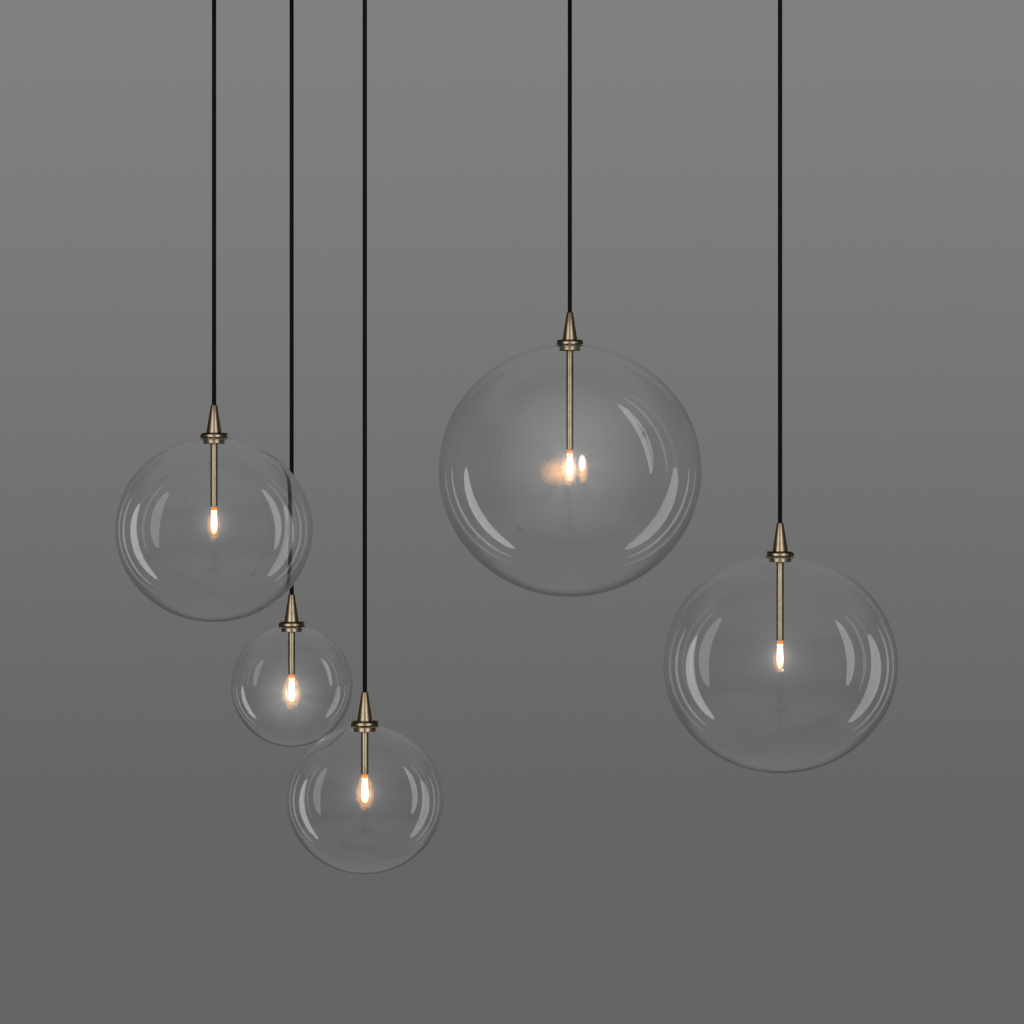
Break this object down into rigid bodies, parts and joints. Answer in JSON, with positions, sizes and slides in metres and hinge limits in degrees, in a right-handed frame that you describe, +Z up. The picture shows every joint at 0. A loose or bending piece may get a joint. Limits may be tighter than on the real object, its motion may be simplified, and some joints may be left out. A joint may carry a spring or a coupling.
{
  "type": "cluster pendant",
  "caption": "Cluster pendant ceiling light: clear blown-glass globes at staggered heights, each on a black cord with a satin brass cone, flange and stem that hold a capsule lamp.",
  "frame": {"origin": "on the ceiling, at the middle of the ceiling bracket's upper face", "axes": "+Z up into the ceiling, +X along the ceiling pan to the right as pictured, +Y away from the camera"},
  "size_m": [0.9834, 0.4959, 1.1862],
  "materials": {
    "satin_brass": "satin, fine turned grain",
    "black_textile": "matte braid",
    "clear_glass": "clear, polished",
    "lamp_glass": "clear, lit warm white",
    "clear_silicone": "translucent, soft",
    "white_ceramic": "unglazed ceramic",
    "zinc_steel": "zinc plated",
    "black_rubber": "matte",
    "white_plastic": "moulded",
    "grey_plastic": "moulded, fine texture"
  },
  "bodies": {
    "ceiling_mount": {"canopy_pan": "satin_brass", "ceiling_bracket": "zinc_steel", "pan_studs": "zinc_steel", "pan_cap_nuts": "satin_brass", "cable_grommet": "black_rubber", "terminal_block": "white_plastic", "transformer": "grey_plastic", "cord_glands": "satin_brass", "gland_locknuts": "zinc_steel", "cord_tails": "black_textile"},
    "hung_cord_a": {"cord_a": "black_textile"},
    "pendant_a": {"cord_grip_a": "zinc_steel", "flange_a": "satin_brass", "seals_a": "clear_silicone", "retainer_a": "satin_brass", "stem_a": "satin_brass", "lampholder_a": "white_ceramic", "globe_a": "clear_glass"},
    "cone_cover_a": {"cone_a": "satin_brass"},
    "lamp_capsule_a": {"lamp_a": "lamp_glass"},
    "hung_cord_b": {"cord_b": "black_textile"},
    "pendant_b": {"cord_grip_b": "zinc_steel", "flange_b": "satin_brass", "seals_b": "clear_silicone", "retainer_b": "satin_brass", "stem_b": "satin_brass", "lampholder_b": "white_ceramic", "globe_b": "clear_glass"},
    "cone_cover_b": {"cone_b": "satin_brass"},
    "lamp_capsule_b": {"lamp_b": "lamp_glass"},
    "hung_cord_c": {"cord_c": "black_textile"},
    "pendant_c": {"cord_grip_c": "zinc_steel", "flange_c": "satin_brass", "seals_c": "clear_silicone", "retainer_c": "satin_brass", "stem_c": "satin_brass", "lampholder_c": "white_ceramic", "globe_c": "clear_glass"},
    "cone_cover_c": {"cone_c": "satin_brass"},
    "lamp_capsule_c": {"lamp_c": "lamp_glass"},
    "hung_cord_d": {"cord_d": "black_textile"},
    "pendant_d": {"cord_grip_d": "zinc_steel", "flange_d": "satin_brass", "seals_d": "clear_silicone", "retainer_d": "satin_brass", "stem_d": "satin_brass", "lampholder_d": "white_ceramic", "globe_d": "clear_glass"},
    "cone_cover_d": {"cone_d": "satin_brass"},
    "lamp_capsule_d": {"lamp_d": "lamp_glass"},
    "hung_cord_e": {"cord_e": "black_textile"},
    "pendant_e": {"cord_grip_e": "zinc_steel", "flange_e": "satin_brass", "seals_e": "clear_silicone", "retainer_e": "satin_brass", "stem_e": "satin_brass", "lampholder_e": "white_ceramic", "globe_e": "clear_glass"},
    "cone_cover_e": {"cone_e": "satin_brass"},
    "lamp_capsule_e": {"lamp_e": "lamp_glass"}
  },
  "joints": [
    {"name": "swing_a", "type": "hinge", "parent": "ceiling_mount", "child": "hung_cord_a", "pos_m": [-0.356, 0, -0.032], "axis": [0, 1, 0], "range_deg": [-6, 6]},
    {"name": "twist_a", "type": "hinge", "parent": "hung_cord_a", "child": "pendant_a", "pos_m": [-0.356, 0, -0.032], "axis": [0, 0, 1], "range_deg": [-180, 180]},
    {"name": "cone_lift_a", "type": "slide", "parent": "pendant_a", "child": "cone_cover_a", "axis": [0, 0, 1], "range_m": [0, 0.06]},
    {"name": "lamp_pull_a", "type": "slide", "parent": "pendant_a", "child": "lamp_capsule_a", "axis": [0, 0, -1], "range_m": [0, 0.0085]},
    {"name": "swing_b", "type": "hinge", "parent": "ceiling_mount", "child": "hung_cord_b", "pos_m": [-0.265, 0.135, -0.032], "axis": [0, 1, 0], "range_deg": [-6, 6]},
    {"name": "twist_b", "type": "hinge", "parent": "hung_cord_b", "child": "pendant_b", "pos_m": [-0.265, 0.135, -0.032], "axis": [0, 0, 1], "range_deg": [-180, 180]},
    {"name": "cone_lift_b", "type": "slide", "parent": "pendant_b", "child": "cone_cover_b", "axis": [0, 0, 1], "range_m": [0, 0.06]},
    {"name": "lamp_pull_b", "type": "slide", "parent": "pendant_b", "child": "lamp_capsule_b", "axis": [0, 0, -1], "range_m": [0, 0.0085]},
    {"name": "swing_c", "type": "hinge", "parent": "ceiling_mount", "child": "hung_cord_c", "pos_m": [-0.1595, -0.135, -0.032], "axis": [0, 1, 0], "range_deg": [-6, 6]},
    {"name": "twist_c", "type": "hinge", "parent": "hung_cord_c", "child": "pendant_c", "pos_m": [-0.1595, -0.135, -0.032], "axis": [0, 0, 1], "range_deg": [-180, 180]},
    {"name": "cone_lift_c", "type": "slide", "parent": "pendant_c", "child": "cone_cover_c", "axis": [0, 0, 1], "range_m": [0, 0.06]},
    {"name": "lamp_pull_c", "type": "slide", "parent": "pendant_c", "child": "lamp_capsule_c", "axis": [0, 0, -1], "range_m": [0, 0.0085]},
    {"name": "swing_d", "type": "hinge", "parent": "ceiling_mount", "child": "hung_cord_d", "pos_m": [0.097, 0.08, -0.032], "axis": [0, 1, 0], "range_deg": [-6, 6]},
    {"name": "twist_d", "type": "hinge", "parent": "hung_cord_d", "child": "pendant_d", "pos_m": [0.097, 0.08, -0.032], "axis": [0, 0, 1], "range_deg": [-180, 180]},
    {"name": "cone_lift_d", "type": "slide", "parent": "pendant_d", "child": "cone_cover_d", "axis": [0, 0, 1], "range_m": [0, 0.06]},
    {"name": "lamp_pull_d", "type": "slide", "parent": "pendant_d", "child": "lamp_capsule_d", "axis": [0, 0, -1], "range_m": [0, 0.0085]},
    {"name": "swing_e", "type": "hinge", "parent": "ceiling_mount", "child": "hung_cord_e", "pos_m": [0.356, -0.1, -0.032], "axis": [0, 1, 0], "range_deg": [-6, 6]},
    {"name": "twist_e", "type": "hinge", "parent": "hung_cord_e", "child": "pendant_e", "pos_m": [0.356, -0.1, -0.032], "axis": [0, 0, 1], "range_deg": [-180, 180]},
    {"name": "cone_lift_e", "type": "slide", "parent": "pendant_e", "child": "cone_cover_e", "axis": [0, 0, 1], "range_m": [0, 0.06]},
    {"name": "lamp_pull_e", "type": "slide", "parent": "pendant_e", "child": "lamp_capsule_e", "axis": [0, 0, -1], "range_m": [0, 0.0085]}
  ]
}
